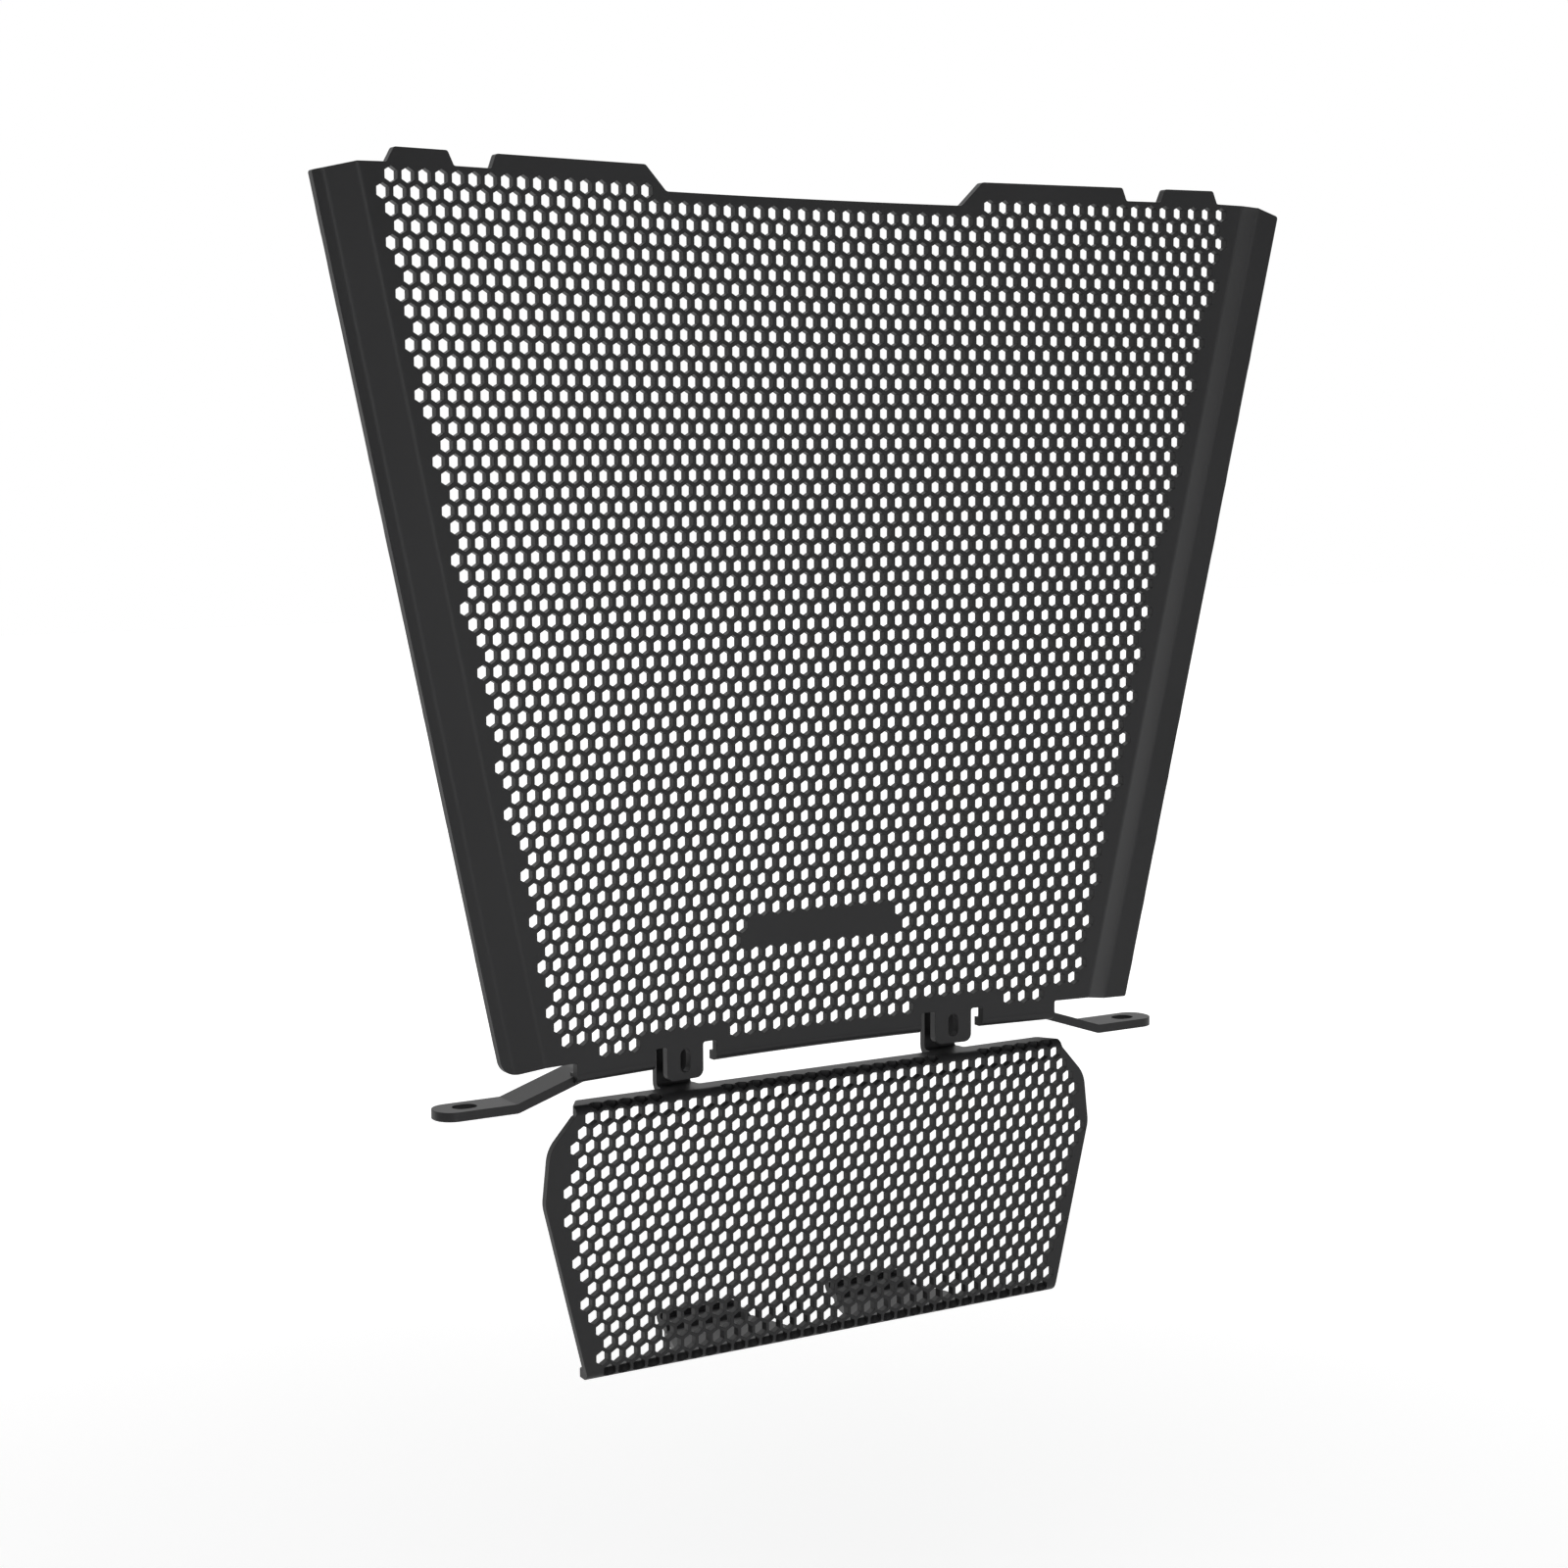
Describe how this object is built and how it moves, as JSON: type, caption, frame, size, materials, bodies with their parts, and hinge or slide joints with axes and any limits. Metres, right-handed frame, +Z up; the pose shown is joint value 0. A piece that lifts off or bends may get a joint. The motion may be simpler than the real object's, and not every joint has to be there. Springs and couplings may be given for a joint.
{
  "type": "motorcycle radiator guard",
  "caption": "Black bent-sheet guard of hexagonal mesh for a motorcycle radiator, with slotted mounting arms and a flanged mesh guard for the oil cooler below.",
  "frame": {"origin": "midway between the slots of the two arms, on the arms' underside", "axes": "+Z up, -Y towards the front wheel (the face the air meets), +X to the right seen from the front"},
  "size_m": [0.3853, 0.0465, 0.4076],
  "materials": {
    "powder_coated_sheet": "satin"
  },
  "bodies": {
    "root": {"radiator_guard": "powder_coated_sheet", "oil_cooler_guard": "powder_coated_sheet"}
  },
  "joints": []
}
